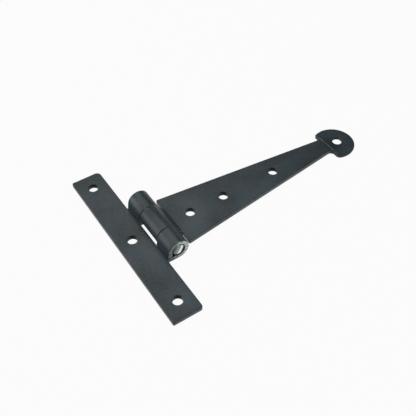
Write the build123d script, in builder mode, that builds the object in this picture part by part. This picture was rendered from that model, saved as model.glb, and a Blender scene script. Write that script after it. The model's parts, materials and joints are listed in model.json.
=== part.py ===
from build123d import *
import math
import os

# Tee hinge: a cross leaf and a tapering strap leaf, each cut and curled from one sheet, on one pin.
# The origin is the middle screw hole of the cross leaf, on the mounting plane.
# +X runs along the strap to its round end, +Y along the cross leaf, +Z out of the mounting face.

# Sheet, pin and barrel: the barrel's middle lies a little to -Y of the origin
sheet_thickness = 3.0
edge_rounding = 0.35
screw_hole_diameter = 6.0
pin_diameter = 7.2
pin_clearance = 0.05
pin_recess = 0.3
pin_end_rounding = 0.5
bore_mouth_chamfer = 0.6
barrel_length = 46.2
barrel_offset = 0.55
knuckle_gap = 0.25
curl_gap = 0.15

# Cross leaf, screwed to the frame
cross_length = 120.0
cross_width = 18.4
cross_hole_pitch = 49.2
cross_hole_count = 3
cross_outer_corner = 0.8
cross_upper_inner_corner = 3.0
cross_lower_inner_corner = 1.5
cross_tail_angle = 9.0
root_rounding = 0.8
slot_setback = 0.4
slot_width = 0.45

# Strap leaf, screwed to the door: its reach and distances are from the pin's axis, and its tongue,
# holes and round end lie a little to -Y of its centre line
strap_reach = 146.8
tongue_width = 19.2
tongue_offset = 1.2
shoulder_distance = 9.8
shoulder_corner = 0.8
strap_root_width = 37.9
strap_neck_width = 11.6
neck_rounding = 2.5
first_hole_distance = 22.0
first_to_second_hole = 23.7
second_to_third_hole = 37.4
hole_line_offset = 0.5
strap_tail_angle = 37.0

# Round end of the strap, pressed thinner than the sheet from just past the neck
penny_radius = 13.5
penny_thickness = 1.3
penny_back_cut = 6.4
penny_corner = 3.0
penny_hole_offset = 2.9
step_length = 1.2
step_setback = 0.6
step_bend = 1.0

# Sizes that follow from the ones above
bore_radius = pin_diameter / 2 + pin_clearance
knuckle_radius = bore_radius + sheet_thickness
leaf_edge_x = cross_width / 2
slot_edge_x = leaf_edge_x + slot_setback
pin_x = slot_edge_x + slot_width + knuckle_radius
slot_length = tongue_width + 2 * knuckle_gap
tongue_y = -tongue_offset
barrel_y = -barrel_offset
far_knuckle_ys = (barrel_y + barrel_length / 2, tongue_y + slot_length / 2)
near_knuckle_ys = (tongue_y - slot_length / 2, barrel_y - barrel_length / 2)
tab_length = pin_x - leaf_edge_x
slot_depth = pin_x - slot_edge_x
shoulder_x = pin_x + shoulder_distance
tip_x = pin_x + strap_reach
penny_x = tip_x - penny_radius
neck_x = penny_x - penny_back_cut
step_start_x = neck_x + step_setback
step_end_x = step_start_x + step_length
first_hole_x = pin_x + first_hole_distance
second_hole_x = first_hole_x + first_to_second_hole
third_hole_x = second_hole_x + second_to_third_hole
end_hole_x = penny_x + penny_hole_offset
strap_hole_xs = (first_hole_x, second_hole_x, third_hole_x, end_hole_x)
hole_line_y = -hole_line_offset
pin_length = barrel_length - 2 * pin_recess
tight = 0.001


def across_pin(y):
    """A plane across the pin at this y, seen from -Y: its own x is +X and its own y is +Z."""
    return Plane(origin=(pin_x, y, knuckle_radius), x_dir=(1, 0, 0), z_dir=(0, -1, 0))


def on_circle(radius, angle):
    """The point at this angle on a circle about the pin."""
    return (radius * math.cos(math.radians(angle)), radius * math.sin(math.radians(angle)))


def corners_at(sketch, x, y, half_width):
    """The two corners of a sketch that lie at this x, half a width either side of this y."""
    return [
        vertex
        for vertex in sketch.vertices()
        if abs(vertex.X - x) < tight and abs(abs(vertex.Y - y) - half_width) < tight
    ]


def leaf_rims(part):
    """The edges round a leaf's top, holes included, and round its underside, without the seams of its bends."""
    rims = []
    for edge in part.edges():
        box = edge.bounding_box()
        across = box.size.X < tight and box.size.Z < tight
        over_step = box.max.X > shoulder_x + tight and box.min.Y < 0 < box.max.Y
        seam = across and (abs(box.max.X - pin_x) < tight or over_step)
        hole = edge.geom_type == GeomType.CIRCLE and abs(edge.radius - screw_hole_diameter / 2) < tight
        on_top = box.min.Z > tight and box.max.Z < sheet_thickness + tight
        on_underside = box.max.Z < tight and not hole
        if not seam and (on_top or on_underside):
            rims.append(edge)
    return rims


def draw_curl(side, tail_angle):
    """Draws a curl about the pin: round from its underside and back down as a straight, square-ended tail.

    The tail comes down on the +X side for side 1 and on the -X side for side -1, leaves the circle at the
    tail angle above the pin's level, and stops just above the leaf.
    """
    slope = math.radians(tail_angle)
    tail_length = (bore_radius * math.sin(slope) + bore_radius - curl_gap) / math.cos(slope)
    sweep = 270 - tail_angle
    start_angle = 90 - side * (90 - tail_angle)
    tail_x = side * tail_length * math.sin(slope)
    tail_z = -tail_length * math.cos(slope)
    outer_start = on_circle(knuckle_radius, start_angle)
    inner_start = on_circle(bore_radius, start_angle)
    outer_end = (outer_start[0] + tail_x, outer_start[1] + tail_z)
    inner_end = (inner_start[0] + tail_x, inner_start[1] + tail_z)
    CenterArc((0, 0), knuckle_radius, -90, -side * sweep)
    Polyline(outer_start, outer_end, inner_end, inner_start)
    CenterArc((0, 0), bore_radius, start_angle, side * sweep)
    Line((0, -bore_radius), (0, -knuckle_radius))


# The cross leaf's two tabs run flat under the pin and curl up its far side
with BuildPart() as cross_leaf:
    with BuildSketch(Plane.XY) as cross_blank:
        Rectangle(cross_width, cross_length)
        fillet(cross_blank.vertices().group_by(Axis.X)[0], cross_outer_corner)
        fillet(cross_blank.vertices().group_by(Axis.X)[-1].sort_by(Axis.Y)[-1], cross_upper_inner_corner)
        fillet(cross_blank.vertices().group_by(Axis.X)[-1].sort_by(Axis.Y)[0], cross_lower_inner_corner)
        with Locations((leaf_edge_x + tab_length / 2, barrel_y)):
            Rectangle(tab_length, barrel_length)
        with Locations((slot_edge_x + slot_depth / 2, tongue_y)):
            Rectangle(slot_depth, slot_length, mode=Mode.SUBTRACT)
        fillet(corners_at(cross_blank, leaf_edge_x, barrel_y, barrel_length / 2), root_rounding)
        fillet(corners_at(cross_blank, slot_edge_x, tongue_y, slot_length / 2), root_rounding)
        with GridLocations(0, cross_hole_pitch, 1, cross_hole_count):
            Circle(screw_hole_diameter / 2, mode=Mode.SUBTRACT)
    extrude(amount=sheet_thickness)
    for far_y, near_y in (far_knuckle_ys, near_knuckle_ys):
        with BuildSketch(across_pin(far_y)):
            with BuildLine():
                draw_curl(-1, cross_tail_angle)
            make_face()
        extrude(amount=far_y - near_y)
    fillet(leaf_rims(cross_leaf.part), edge_rounding)
    for end_y, inward in ((far_knuckle_ys[0], 1), (near_knuckle_ys[1], -1)):
        with BuildSketch(across_pin(end_y)):
            Circle(bore_radius + bore_mouth_chamfer)
        extrude(amount=inward * 2 * bore_mouth_chamfer, taper=45, mode=Mode.SUBTRACT)
cross_leaf.part.label = "cross_leaf"

# The strap's tongue runs flat under the pin the other way and curls up its near side
with BuildPart() as strap_leaf:
    with BuildSketch(Plane.XY) as strap_blank:
        with BuildLine():
            Polyline(
                (pin_x, tongue_y + tongue_width / 2),
                (shoulder_x, tongue_y + tongue_width / 2),
                (shoulder_x, strap_root_width / 2),
                (neck_x, strap_neck_width / 2),
                (penny_x, strap_neck_width / 2),
                (penny_x, -strap_neck_width / 2),
                (neck_x, -strap_neck_width / 2),
                (shoulder_x, -strap_root_width / 2),
                (shoulder_x, tongue_y - tongue_width / 2),
                (pin_x, tongue_y - tongue_width / 2),
                close=True,
            )
        make_face()
        with BuildSketch(mode=Mode.PRIVATE) as penny:
            with Locations((penny_x, hole_line_y)):
                Circle(penny_radius)
            with Locations((neck_x - penny_radius, hole_line_y)):
                Rectangle(2 * penny_radius, 2 * penny_radius, mode=Mode.SUBTRACT)
            fillet(penny.vertices(), penny_corner)
        add(penny.sketch)
        fillet(corners_at(strap_blank, neck_x, 0, strap_neck_width / 2), neck_rounding)
        fillet(corners_at(strap_blank, shoulder_x, tongue_y, tongue_width / 2), root_rounding)
        fillet(corners_at(strap_blank, shoulder_x, 0, strap_root_width / 2), shoulder_corner)
        with Locations([(hole_x, hole_line_y) for hole_x in strap_hole_xs]):
            Circle(screw_hole_diameter / 2, mode=Mode.SUBTRACT)
    extrude(amount=sheet_thickness)
    with BuildSketch(Plane.XZ) as side_profile:
        with BuildLine():
            Polyline(
                (pin_x, 0),
                (tip_x, 0),
                (tip_x, penny_thickness),
                (step_end_x, penny_thickness),
                (step_start_x, sheet_thickness),
                (pin_x, sheet_thickness),
                close=True,
            )
        make_face()
        step_bends = [
            vertex
            for vertex in side_profile.vertices()
            if min(abs(vertex.X - step_start_x), abs(vertex.X - step_end_x)) < tight
        ]
        fillet(step_bends, step_bend)
    extrude(amount=strap_root_width, both=True, mode=Mode.INTERSECT)
    with BuildSketch(across_pin(tongue_y + tongue_width / 2)):
        with BuildLine():
            draw_curl(1, strap_tail_angle)
        make_face()
    extrude(amount=tongue_width)
    fillet(leaf_rims(strap_leaf.part), edge_rounding)
strap_leaf.part.label = "strap_leaf"

# The pin runs the length of the barrel, its rounded ends just inside the chamfered mouths of the bore
with BuildPart() as hinge_pin:
    with BuildSketch(across_pin(barrel_y + pin_length / 2)):
        Circle(pin_diameter / 2)
    extrude(amount=pin_length)
    fillet(hinge_pin.edges().filter_by(GeomType.CIRCLE), pin_end_rounding)
hinge_pin.part.label = "hinge_pin"

os.makedirs("parts", exist_ok=True)
export_step(cross_leaf.part, "parts/cross_leaf.step")
export_step(strap_leaf.part, "parts/strap_leaf.step")
export_step(hinge_pin.part, "parts/hinge_pin.step")
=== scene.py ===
import json
import math
import bpy
import numpy as np
from mathutils import Matrix, Vector


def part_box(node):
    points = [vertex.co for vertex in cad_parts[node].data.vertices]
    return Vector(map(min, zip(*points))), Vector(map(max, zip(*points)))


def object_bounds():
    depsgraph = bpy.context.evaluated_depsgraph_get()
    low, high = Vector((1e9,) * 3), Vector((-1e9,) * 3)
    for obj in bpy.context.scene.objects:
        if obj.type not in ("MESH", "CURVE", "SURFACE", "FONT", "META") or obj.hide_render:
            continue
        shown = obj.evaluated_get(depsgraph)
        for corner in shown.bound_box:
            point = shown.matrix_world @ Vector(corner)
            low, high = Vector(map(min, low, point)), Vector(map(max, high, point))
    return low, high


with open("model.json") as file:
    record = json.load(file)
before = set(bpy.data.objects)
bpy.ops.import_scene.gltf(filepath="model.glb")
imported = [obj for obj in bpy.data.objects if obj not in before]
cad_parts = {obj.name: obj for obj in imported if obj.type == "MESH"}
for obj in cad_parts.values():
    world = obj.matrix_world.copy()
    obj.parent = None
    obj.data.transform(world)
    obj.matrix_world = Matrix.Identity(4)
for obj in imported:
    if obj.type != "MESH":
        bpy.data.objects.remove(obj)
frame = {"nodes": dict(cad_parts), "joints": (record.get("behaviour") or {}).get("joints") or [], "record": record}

# Sizes and places are in mm and angles in degrees, in the hinge's own frame: the origin is the middle hole
# of the cross leaf, +X runs along the strap, +Y along the cross leaf and +Z up
cadBox = [list(corner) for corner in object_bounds()]
mm = 0.001
pinX, _, pinHeight = frame["joints"][0]["pos_m"]      # where the pin's axis lies, in metres
print("hinge loaded:", sorted(frame["nodes"]))


def linearFromHex(hexText):
    # sRGB hex to the linear colour that a shader takes
    parts = [int(hexText[i:i + 2], 16) / 255 for i in (1, 3, 5)]
    return [c / 12.92 if c <= 0.04045 else ((c + 0.055) / 1.055) ** 2.4 for c in parts] + [1.0]


def metres(place):
    return [along * mm for along in place]


def perMetre(sizeMm):
    # a noise texture's scale for features of this size
    return 1 / (sizeMm * mm)


def addNode(tree, kind, inputs=None, **settings):
    # adds a node: settings are its own, and inputs are plain values or what feeds them, where a node
    # stands for its first output. A Map Range node takes its value at 0, the range that it comes from at 1
    # and 2 and the one that it goes to at 3 and 4. A Mix node takes its share at 0, numbers at 2 and 3 and
    # colours at 6 and 7, and gives a colour at its output 2.
    made = tree.nodes.new(kind)
    for name, value in settings.items():
        setattr(made, name, value)
    for name, value in (inputs or {}).items():
        if isinstance(value, bpy.types.Node):
            value = value.outputs[0]
        if isinstance(value, bpy.types.NodeSocket):
            tree.links.new(value, made.inputs[name])
        else:
            made.inputs[name].default_value = value
    return made


def emptyMaterial(name):
    made = bpy.data.materials.new(name)
    made.use_nodes = True
    made.node_tree.nodes.clear()
    return made


# Camera: placed by where it stands round the hinge, with the photo's own perspective
camera = {
    "azimuth": -32.81,
    "elevation": 47.97,
    "roll": -0.89,
    "distance": 380.4,
    "aim": (50.57, -1.56, 0.0),
    "lens": 54.93,
    "sensor": 36.0,
    "nearClip": 10.0,
}


def makeCamera(look):
    # back points from the aim to the camera, right is level before the roll, and up is square to both
    turn, lift, roll = (math.radians(look[angle]) for angle in ("azimuth", "elevation", "roll"))
    back = Vector((math.sin(turn) * math.cos(lift), -math.cos(turn) * math.cos(lift), math.sin(lift)))
    level = Vector((math.cos(turn), math.sin(turn), 0))
    right = Matrix.Rotation(roll, 3, back) @ level
    up = back.cross(right)
    data = bpy.data.cameras.new("photoCamera")
    data.lens = look["lens"]
    data.sensor_width = look["sensor"]
    data.clip_start = look["nearClip"] * mm
    made = bpy.data.objects.new("photoCamera", data)
    bpy.context.scene.collection.objects.link(made)
    place = Vector(look["aim"]) * mm + back * look["distance"] * mm
    made.matrix_world = Matrix.Translation(place) @ Matrix((right, up, back)).transposed().to_4x4()
    bpy.context.scene.camera = made


makeCamera(camera)
print("camera placed")

# Floor and light: a white sweep that the camera sees as plain white, a large soft box high behind the hinge
# that lights the cross leaf and the strap's root best, a low one for the barrel's left side, and a small one
# in front
studio = {
    "floorSize": 6000.0,
    "floorDrop": 0.02,        # keeps the floor just clear of the leaves' undersides
    "floorGrey": "#a8a8a8",
    "shadowShare": 0.05,      # how much of the floor's own shading the camera sees
    "worldFill": 0.3,
    "topBox": {"place": (-110, 440, 900), "size": (1520, 650), "watts": 6.8},
    "leftBox": {"place": (-720, 500, 330), "size": (600, 700), "watts": 3.9},
    "frontBox": {"place": (300, -560, 260), "size": (420, 240), "watts": 1.4},
}


def makeFloor(look):
    # a square whose matt grey, which carries the shadow, shows through a plain white glow
    half = look["floorSize"] * mm / 2
    mesh = bpy.data.meshes.new("floor")
    low = -look["floorDrop"] * mm
    corners = [(x * half, y * half, low) for x, y in ((-1, -1), (1, -1), (1, 1), (-1, 1))]
    mesh.from_pydata(corners, [], [(0, 1, 2, 3)])
    made = bpy.data.objects.new("floor", mesh)
    bpy.context.scene.collection.objects.link(made)
    paper = emptyMaterial("whitePaperSweep")
    tree = paper.node_tree
    lit = addNode(tree, "ShaderNodeBsdfDiffuse", {"Color": linearFromHex(look["floorGrey"])})
    glow = addNode(tree, "ShaderNodeEmission", {"Color": (1, 1, 1, 1), "Strength": 1.0})
    path = addNode(tree, "ShaderNodeLightPath")
    seen = addNode(tree, "ShaderNodeMath",
                   {0: path.outputs["Is Camera Ray"], 1: path.outputs["Is Glossy Ray"]},
                   operation="MAXIMUM")
    seen = addNode(tree, "ShaderNodeMath", {0: seen, 1: path.outputs["Is Transmission Ray"]},
                   operation="MAXIMUM")
    share = addNode(tree, "ShaderNodeMath", {0: seen, 1: 1 - look["shadowShare"]}, operation="MULTIPLY")
    mixed = addNode(tree, "ShaderNodeMixShader", {0: share, 1: lit, 2: glow})
    addNode(tree, "ShaderNodeOutputMaterial", {"Surface": mixed})
    mesh.materials.append(paper)


def makeWorld(look):
    # a faint even fill, which the camera sees as plain white
    world = bpy.data.worlds.new("studioWhite")
    bpy.context.scene.world = world
    world.use_nodes = True
    tree = world.node_tree
    tree.nodes.clear()
    path = addNode(tree, "ShaderNodeLightPath")
    seen = addNode(tree, "ShaderNodeMath",
                   {0: path.outputs["Is Camera Ray"], 1: path.outputs["Is Transmission Ray"]},
                   operation="MAXIMUM")
    fill = addNode(tree, "ShaderNodeBackground", {"Color": (1, 1, 1, 1), "Strength": look["worldFill"]})
    plain = addNode(tree, "ShaderNodeBackground", {"Color": (1, 1, 1, 1), "Strength": 1.0})
    mixed = addNode(tree, "ShaderNodeMixShader", {0: seen, 1: fill, 2: plain})
    addNode(tree, "ShaderNodeOutputWorld", {"Surface": mixed})


def makeSoftBox(name, look, aim):
    data = bpy.data.lights.new(name, "AREA")
    data.shape = "RECTANGLE"
    data.size, data.size_y = metres(look["size"])
    data.energy = look["watts"]
    made = bpy.data.objects.new(name, data)
    bpy.context.scene.collection.objects.link(made)
    place = Vector(look["place"]) * mm
    made.location = place
    made.rotation_euler = (place - aim).to_track_quat("Z", "Y").to_euler()


makeFloor(studio)
makeWorld(studio)
hingeMiddle = (Vector(cadBox[0]) + Vector(cadBox[1])) / 2
for boxName in ("topBox", "leftBox", "frontBox"):
    makeSoftBox(boxName, studio[boxName], hingeMiddle)
print("studio lit")

# Black baked enamel over mild steel sheet: dipped, so it is evenly dark with a cool cast, half glossy and
# slightly orange-peeled. Painted shade darkens two sides of each hole, a little along the rims, and the
# strap's round end. On the sheared ends it is thin and the steel shows through, partly as painted light:
# a painted reflection low down and painted shade towards -X. It is rubbed brown where the knuckles meet.
coating = {
    "base": "#1a2428",
    "cloud": "#2c393e",
    "cloudSize": 26.0,
    "grainSize": 1.6,
    "grainShow": 0.3,              # share of the grain in the tone
    "toneRange": (0.37, 0.63),     # noise from the base colour to the cloud colour
    "roughness": 0.37,
    "roughSpread": 0.07,
    "roughRange": (0.3, 0.7),      # noise from the dullest to the glossiest
    "gloss": 0.28,
    "orangePeel": 1.1,             # real peel is finer, and this coarse it still shows
    "peelDepth": 0.008,
    # steel on the sheared ends, partly painted light
    "steelAndSheen": "#b9c4c1",
    "steelMetal": 0.85,
    "steelRoughness": 0.38,
    "shearTurn": (0.8, 0.96),      # how far a face is turned to Y, from coated to bare
    "shearSize": 1.8,
    "shearRange": (0.36, 0.56),
    "shearLeast": 0.35,
    "floorReflectionReach": (0.2, 1.5),       # height over which the painted reflection of the floor, low on the sheet's ends, fades
    "shearAbove": 0.3,             # share that stays bare above it
    "leftShadeReach": (12.0, 20.0),     # X over which the painted shade on the ends lifts, from -X towards the strap
    "leftShadeLeast": 0.25,
    # painted shade: in the holes, along the rims and on the strap's round end
    "paintedShade": "#0b1011",
    "paintedShadeRoughness": 0.75,
    # painted shade along the rounded rims of the sheet
    "rimTurn": (0.05, 0.3),        # Z of the normal from the sheet's side to its rounded rim
    "rimFlat": (0.9, 0.995),       # and from the rim to its flat top
    "rimHeight": 3.06,             # just above the flat sheet, so that the barrel has no rims
    "rimSize": 3.2,
    "rimRange": (0.35, 0.6),
    "rimLeast": 0.65,
    "rimDark": 0.15,
    "holeMargin": 0.1,             # how far past a hole's wall it still counts as the hole's
    "holeShadeSide": (0.54, 0.84, 0),   # a hole's wall that faces this way, or the opposite one, gets painted shade
    "holeShadeTurn": (0.72, 0.95),
    "holeShadeLeast": 0.25,
    "roundEndShadeCore": 0.2,               # share of the round end's painted shade's reach that is at full strength
    # painted highlight across the strap's crease
    "creaseHighlight": "#69787c",
    "creaseHighlightWidth": 0.4,
    "rub": "#93785a",
    "rubSize": 0.8,
    "rubRange": (0.35, 0.6),
    "rubCore": 0.3,                # and of a rub mark's
    "barrelMargin": 0.25,          # how far past the barrel's round side it still counts as the barrel
}

# For each leaf: the bolt patterns that its screw holes make, how much steel shows on its sheared ends (partly
# painted light), and its rub marks (place, reach and strength). On the strap, the bare ends stop where the
# round end starts. A painted highlight lies across it there, where the press bent it, and painted shade
# darkens the round end beyond (place, reach and strength).
wear = {
    "cross_leaf": {
        "screws": ("cross_leaf_end_screws", "cross_leaf_upper_screws"),
        "ends": 0.95,
        "rubs": [((9.9, 9.0, 2.6), 1.2, 0.9), ((10.1, -11.4, 2.8), 1.5, 0.9),
                 ((14.5, 8.4, 13.0), 1.5, 0.7), ((10.4, -11.2, 9.0), 1.2, 0.5)],
    },
    "strap_leaf": {
        "screws": ("strap_root_screws", "strap_end_screws"),
        "ends": 0.3,
        "endsStopAt": 141.0,
        "rubs": [((14.5, 8.3, 12.9), 1.6, 0.6), ((155.5, 0.8, 1.2), 0.9, 0.5)],
        "creaseAt": 144.2,
        "creaseReach": 7.2,
        # painted shade on the round end
        "roundEndShade": ((147.0, -1.0, 1.3), 11.5, 0.75),
    },
}


def screwHoles(patterns):
    # x, y and radius in mm of each hole of these patterns, once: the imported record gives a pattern's middle,
    # and its two holes lie half their spacing either side of it
    holes = set()
    for mount in frame["record"]["mounts"]:
        if mount["name"] in patterns:
            size = mount["dims"]
            for side in (-0.5, 0.5):
                x = mount["pos_m"][0] / mm + side * size.get("spacing_x_mm", 0)
                y = mount["pos_m"][1] / mm + side * size.get("spacing_y_mm", 0)
                holes.add((round(x, 3), round(y, 3), size["hole_r_mm"]))
    return sorted(holes)


def markHoles(tree, coords, look, worn):
    # 1 in the screw holes, by how far a point of the plan is from each hole's axis
    plan = addNode(tree, "ShaderNodeVectorMath", {0: coords.outputs["Object"], 1: (1, 1, 0)},
                   operation="MULTIPLY")
    inHoles = None
    for x, y, radius in screwHoles(worn["screws"]):
        away = addNode(tree, "ShaderNodeVectorMath", {0: plan, 1: metres((x, y, 0))}, operation="DISTANCE")
        within = addNode(tree, "ShaderNodeMath",
                         {0: away.outputs["Value"], 1: (radius + look["holeMargin"]) * mm},
                         operation="LESS_THAN")
        inHoles = within if inHoles is None else addNode(tree, "ShaderNodeMath", {0: inHoles, 1: within})
    return inHoles


def markShearAndSheen(tree, coords, inHoles, look, worn):
    # faces turned to +Y or -Y: steel all over the barrel's ends and low down on the flat sheet's, with the coat
    # thinner in patches. The steel partly stands in for light on the ends: low down it is a painted reflection of
    # the floor, and it gives way to painted shade towards -X, away from the strap. The barrel lies on the
    # leaves' plane, so its radius is the height of its axis.
    place = coords.outputs["Object"]
    spot = addNode(tree, "ShaderNodeSeparateXYZ", {0: place})
    facing = addNode(tree, "ShaderNodeSeparateXYZ", {0: coords.outputs["Normal"]})
    turned = addNode(tree, "ShaderNodeMath", {0: facing.outputs["Y"]}, operation="ABSOLUTE")
    low, high = look["shearTurn"]
    steelAndSheen = addNode(tree, "ShaderNodeMapRange", {0: turned, 1: low, 2: high, 4: worn["ends"]})
    outside = addNode(tree, "ShaderNodeMath", {0: 1.0, 1: inHoles}, operation="SUBTRACT", use_clamp=True)
    shear = addNode(tree, "ShaderNodeTexNoise",
                    {"Vector": place, "Scale": perMetre(look["shearSize"]), "Detail": 2.0})
    low, high = look["shearRange"]
    patches = addNode(tree, "ShaderNodeMapRange",
                      {0: shear, 1: low, 2: high, 3: look["shearLeast"], 4: 1.0})
    # painted reflection of the floor, low on the sheet's ends
    low, high = metres(look["floorReflectionReach"])
    floorReflection = addNode(tree, "ShaderNodeMapRange",
                   {0: spot.outputs["Z"], 1: low, 2: high, 3: 1.0, 4: look["shearAbove"]})
    section = addNode(tree, "ShaderNodeVectorMath", {0: place, 1: (1, 0, 1)}, operation="MULTIPLY")
    away = addNode(tree, "ShaderNodeVectorMath", {0: section, 1: (pinX, 0, pinHeight)}, operation="DISTANCE")
    curled = addNode(tree, "ShaderNodeMath",
                     {0: away.outputs["Value"], 1: pinHeight + look["barrelMargin"] * mm},
                     operation="LESS_THAN")
    reflectionAndBarrel = addNode(tree, "ShaderNodeMath", {0: floorReflection, 1: curled}, operation="MAXIMUM")
    # painted shade on the ends towards -X
    low, high = metres(look["leftShadeReach"])
    leftShade = addNode(tree, "ShaderNodeMapRange",
                       {0: spot.outputs["X"], 1: low, 2: high, 3: look["leftShadeLeast"], 4: 1.0})
    shares = [outside, patches, reflectionAndBarrel, leftShade]
    if "endsStopAt" in worn:
        shares.append(addNode(tree, "ShaderNodeMath", {0: spot.outputs["X"], 1: worn["endsStopAt"] * mm},
                              operation="LESS_THAN"))
    for share in shares:
        steelAndSheen = addNode(tree, "ShaderNodeMath", {0: steelAndSheen, 1: share}, operation="MULTIPLY")
    return steelAndSheen, patches


def markRimAndHoleShade(tree, coords, inHoles, look):
    # painted shade: on the rounded rims of the flat sheet, unevenly, and on two sides of each hole
    place = coords.outputs["Object"]
    spot = addNode(tree, "ShaderNodeSeparateXYZ", {0: place})
    facing = addNode(tree, "ShaderNodeSeparateXYZ", {0: coords.outputs["Normal"]})
    low, high = look["rimTurn"]
    paintedShade = addNode(tree, "ShaderNodeMapRange", {0: facing.outputs["Z"], 1: low, 2: high})
    low, high = look["rimFlat"]
    lying = addNode(tree, "ShaderNodeMapRange",
                    {0: facing.outputs["Z"], 1: low, 2: high, 3: look["rimDark"], 4: 0.0})
    onSheet = addNode(tree, "ShaderNodeMath", {0: spot.outputs["Z"], 1: look["rimHeight"] * mm},
                      operation="LESS_THAN")
    rimShadeNoise = addNode(tree, "ShaderNodeTexNoise",
                      {"Vector": place, "Scale": perMetre(look["rimSize"]), "Detail": 3.0})
    low, high = look["rimRange"]
    uneven = addNode(tree, "ShaderNodeMapRange", {0: rimShadeNoise, 1: low, 2: high, 3: look["rimLeast"], 4: 1.0})
    for share in (lying, onSheet, uneven):
        paintedShade = addNode(tree, "ShaderNodeMath", {0: paintedShade, 1: share}, operation="MULTIPLY")
    # painted shade on two sides of each hole
    turned = addNode(tree, "ShaderNodeVectorMath", {0: coords.outputs["Normal"], 1: look["holeShadeSide"]},
                     operation="DOT_PRODUCT")
    turned = addNode(tree, "ShaderNodeMath", {0: turned.outputs["Value"]}, operation="ABSOLUTE")
    low, high = look["holeShadeTurn"]
    holeShade = addNode(tree, "ShaderNodeMapRange", {0: turned, 1: low, 2: high, 3: look["holeShadeLeast"], 4: 1.0})
    holeShade = addNode(tree, "ShaderNodeMath", {0: holeShade, 1: inHoles}, operation="MULTIPLY")
    return addNode(tree, "ShaderNodeMath", {0: paintedShade, 1: holeShade}, operation="MAXIMUM")


def markRubs(tree, coords, look, worn):
    # soft spots with a broken outline
    place = coords.outputs["Object"]
    ragged = addNode(tree, "ShaderNodeTexNoise",
                     {"Vector": place, "Scale": perMetre(look["rubSize"]), "Detail": 2.0})
    low, high = look["rubRange"]
    broken = addNode(tree, "ShaderNodeMapRange", {0: ragged, 1: low, 2: high})
    rubbed = None
    for centre, reach, strength in worn["rubs"]:
        away = addNode(tree, "ShaderNodeVectorMath", {0: place, 1: metres(centre)}, operation="DISTANCE")
        near = addNode(tree, "ShaderNodeMapRange",
                       {0: away.outputs["Value"], 1: look["rubCore"] * reach * mm, 2: reach * mm,
                        3: strength, 4: 0.0})
        near = addNode(tree, "ShaderNodeMath", {0: near, 1: broken}, operation="MULTIPLY")
        rubbed = near if rubbed is None else addNode(tree, "ShaderNodeMath", {0: rubbed, 1: near},
                                                     operation="MAXIMUM")
    return rubbed


def markRoundEndShade(tree, coords, look, worn):
    # painted shade on the strap's round end, which fades out from its middle
    centre, reach, strength = worn["roundEndShade"]
    away = addNode(tree, "ShaderNodeVectorMath", {0: coords.outputs["Object"], 1: metres(centre)},
                   operation="DISTANCE")
    return addNode(tree, "ShaderNodeMapRange",
                   {0: away.outputs["Value"], 1: look["roundEndShadeCore"] * reach * mm, 2: reach * mm,
                    3: strength, 4: 0.0}, interpolation_type="SMOOTHSTEP")


def markCreaseHighlight(tree, coords, patches, look, worn):
    # a painted highlight: a narrow line across the strap, as broken as the bare steel is
    spot = addNode(tree, "ShaderNodeSeparateXYZ", {0: coords.outputs["Object"]})
    along = addNode(tree, "ShaderNodeMath",
                    {0: spot.outputs["X"], 1: worn["creaseAt"] * mm, 2: look["creaseHighlightWidth"] * mm},
                    operation="COMPARE")
    across = addNode(tree, "ShaderNodeMath", {0: spot.outputs["Y"], 1: 0.0, 2: worn["creaseReach"] * mm},
                     operation="COMPARE")
    highlighted = addNode(tree, "ShaderNodeMath", {0: along, 1: patches}, operation="MULTIPLY")
    return addNode(tree, "ShaderNodeMath", {0: highlighted, 1: across}, operation="MULTIPLY")


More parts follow.
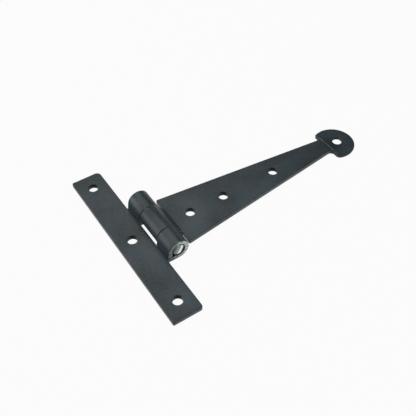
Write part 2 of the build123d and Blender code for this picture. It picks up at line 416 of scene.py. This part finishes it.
def makeCoat(name, look, worn):
    made = emptyMaterial(name)
    tree = made.node_tree
    coords = addNode(tree, "ShaderNodeTexCoord")
    place = coords.outputs["Object"]

    # tone: slow clouds with a little fine grain
    cloud = addNode(tree, "ShaderNodeTexNoise",
                    {"Vector": place, "Scale": perMetre(look["cloudSize"]), "Detail": 3.0})
    grain = addNode(tree, "ShaderNodeTexNoise",
                    {"Vector": place, "Scale": perMetre(look["grainSize"]), "Detail": 2.0})
    mottle = addNode(tree, "ShaderNodeMix", {0: look["grainShow"], 2: cloud, 3: grain})
    low, high = look["toneRange"]
    tone = addNode(tree, "ShaderNodeMapRange", {0: mottle, 1: low, 2: high})
    colour = addNode(tree, "ShaderNodeMix",
                     {0: tone, 6: linearFromHex(look["base"]), 7: linearFromHex(look["cloud"])},
                     data_type="RGBA")

    # what lies over it, from the painted shade to the rub marks
    inHoles = markHoles(tree, coords, look, worn)
    steelAndSheen, patches = markShearAndSheen(tree, coords, inHoles, look, worn)
    paintedShade = markRimAndHoleShade(tree, coords, inHoles, look)
    layers = [(paintedShade, "paintedShade")]
    # painted shade on the strap's round end
    if "roundEndShade" in worn:
        layers.append((markRoundEndShade(tree, coords, look, worn), "paintedShade"))
    # painted highlight across the strap's crease
    if "creaseAt" in worn:
        layers.append((markCreaseHighlight(tree, coords, patches, look, worn), "creaseHighlight"))
    # steel on the ends, partly painted light
    layers += [(steelAndSheen, "steelAndSheen"), (markRubs(tree, coords, look, worn), "rub")]
    for share, shade in layers:
        colour = addNode(tree, "ShaderNodeMix",
                         {0: share, 6: colour.outputs[2], 7: linearFromHex(look[shade])}, data_type="RGBA")

    metal = addNode(tree, "ShaderNodeMath", {0: steelAndSheen, 1: look["steelMetal"]}, operation="MULTIPLY")
    low, high = look["roughRange"]
    rough = addNode(tree, "ShaderNodeMapRange",
                    {0: mottle, 1: low, 2: high, 3: look["roughness"] + look["roughSpread"],
                     4: look["roughness"] - look["roughSpread"]})
    rough = addNode(tree, "ShaderNodeMix", {0: paintedShade, 2: rough, 3: look["paintedShadeRoughness"]})
    rough = addNode(tree, "ShaderNodeMix", {0: steelAndSheen, 2: rough, 3: look["steelRoughness"]})
    peel = addNode(tree, "ShaderNodeTexNoise",
                   {"Vector": place, "Scale": perMetre(look["orangePeel"]), "Detail": 2.0})
    bump = addNode(tree, "ShaderNodeBump", {"Height": peel, "Distance": look["peelDepth"] * mm})
    shader = addNode(tree, "ShaderNodeBsdfPrincipled",
                     {"Base Color": colour.outputs[2], "Metallic": metal, "Roughness": rough,
                      "Normal": bump, "IOR": 1.5, "Specular IOR Level": look["gloss"]})
    addNode(tree, "ShaderNodeOutputMaterial", {"Surface": shader})
    return made


# Cold-drawn steel rod: coated round its side, while the shear has smeared its ends into slanting streaks,
# from dull grey on the left to bright on the right: painted shade on the left and a painted highlight in the
# bright streaks on the right. Each streak has how far across the end it lies, from 0 to 1, and its colour.
rod = {
    "coat": "#1e282c",
    "streaksAndHighlight": [(0.0, "#2b3231"), (0.28, "#59625f"), (0.46, "#98a29e"), (0.56, "#363d3b"),
                (0.64, "#e2e6e2"), (0.78, "#f2f4f2"), (0.86, "#4f5654")],
    "metal": 0.85,
    "gloss": 0.3,
    "roughness": 0.4,
    "endTurn": (0.6, 0.9),       # how far a face is turned to Y, from the side to the end
    "streakAngle": 30.0,
    "smearSize": 1.1,
    "smearLength": 5.0,          # how much longer than wide a smear is
    "smearRange": (0.3, 0.7),
    "smear": 1.0,
    "smearDepth": 0.02,
}


def makeRod(name, look, lowCorner, highCorner):
    # for the rod whose box has these two corners
    middle = (lowCorner + highCorner) / 2
    radius = (highCorner.x - lowCorner.x) / 2
    made = emptyMaterial(name)
    tree = made.node_tree
    coords = addNode(tree, "ShaderNodeTexCoord")
    facing = addNode(tree, "ShaderNodeSeparateXYZ", {0: coords.outputs["Normal"]})
    turned = addNode(tree, "ShaderNodeMath", {0: facing.outputs["Y"]}, operation="ABSOLUTE")
    low, high = look["endTurn"]
    end = addNode(tree, "ShaderNodeMapRange", {0: turned, 1: low, 2: high})

    # streaks: how far a point lies across the end, square to the streaks, shifted a little by the smears
    slanted = addNode(tree, "ShaderNodeMapping",
                      {"Vector": coords.outputs["Object"], "Location": middle,
                       "Rotation": (0, math.radians(look["streakAngle"]), 0),
                       "Scale": (1, 1, look["smearLength"])}, vector_type="TEXTURE")
    across = addNode(tree, "ShaderNodeSeparateXYZ", {0: slanted})
    smear = addNode(tree, "ShaderNodeTexNoise",
                    {"Vector": slanted, "Scale": perMetre(look["smearSize"]), "Detail": 2.0})
    low, high = look["smearRange"]
    drift = addNode(tree, "ShaderNodeMapRange",
                    {0: smear, 1: low, 2: high, 3: -look["smear"] * mm / 2, 4: look["smear"] * mm / 2})
    shifted = addNode(tree, "ShaderNodeMath", {0: across.outputs["X"], 1: drift})
    share = addNode(tree, "ShaderNodeMapRange", {0: shifted, 1: -radius, 2: radius})
    # the streak colours: painted shade on the left and a painted highlight on the right
    steelAndSheen = addNode(tree, "ShaderNodeValToRGB", {0: share})
    stops = steelAndSheen.color_ramp.elements
    for at, shade in look["streaksAndHighlight"][len(stops):]:
        stops.new(at)
    for stop, (at, shade) in zip(stops, look["streaksAndHighlight"]):
        stop.position, stop.color = at, linearFromHex(shade)

    colour = addNode(tree, "ShaderNodeMix", {0: end, 6: linearFromHex(look["coat"]), 7: steelAndSheen},
                     data_type="RGBA")
    metal = addNode(tree, "ShaderNodeMath", {0: end, 1: look["metal"]}, operation="MULTIPLY")
    bump = addNode(tree, "ShaderNodeBump", {"Height": smear, "Distance": look["smearDepth"] * mm})
    shader = addNode(tree, "ShaderNodeBsdfPrincipled",
                     {"Base Color": colour.outputs[2], "Metallic": metal, "Roughness": look["roughness"],
                      "Normal": bump, "IOR": 1.5, "Specular IOR Level": look["gloss"]})
    addNode(tree, "ShaderNodeOutputMaterial", {"Surface": shader})
    return made


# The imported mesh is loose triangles, so it is welded and split at sharp edges to shade smoothly
smoothing = {
    "weldReach": 0.0005,
    "sharpAngle": 32.0,
}


def dressNode(name, material, look):
    piece = frame["nodes"][name]
    weld = piece.modifiers.new("weld", "WELD")
    weld.merge_threshold = look["weldReach"] * mm
    split = piece.modifiers.new("sharpEdges", "EDGE_SPLIT")
    split.split_angle = math.radians(look["sharpAngle"])
    piece.data.polygons.foreach_set("use_smooth", np.ones(len(piece.data.polygons), bool))
    piece.data.materials.clear()
    piece.data.materials.append(material)


for nodeName in ("cross_leaf", "strap_leaf"):
    dressNode(nodeName, makeCoat("blackBakedEnamel_" + nodeName, coating, wear[nodeName]), smoothing)
dressNode("hinge_pin", makeRod("croppedSteelRod", rod, *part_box("hinge_pin")), smoothing)
print("pieces dressed")

bpy.context.scene.view_settings.view_transform = "Standard"
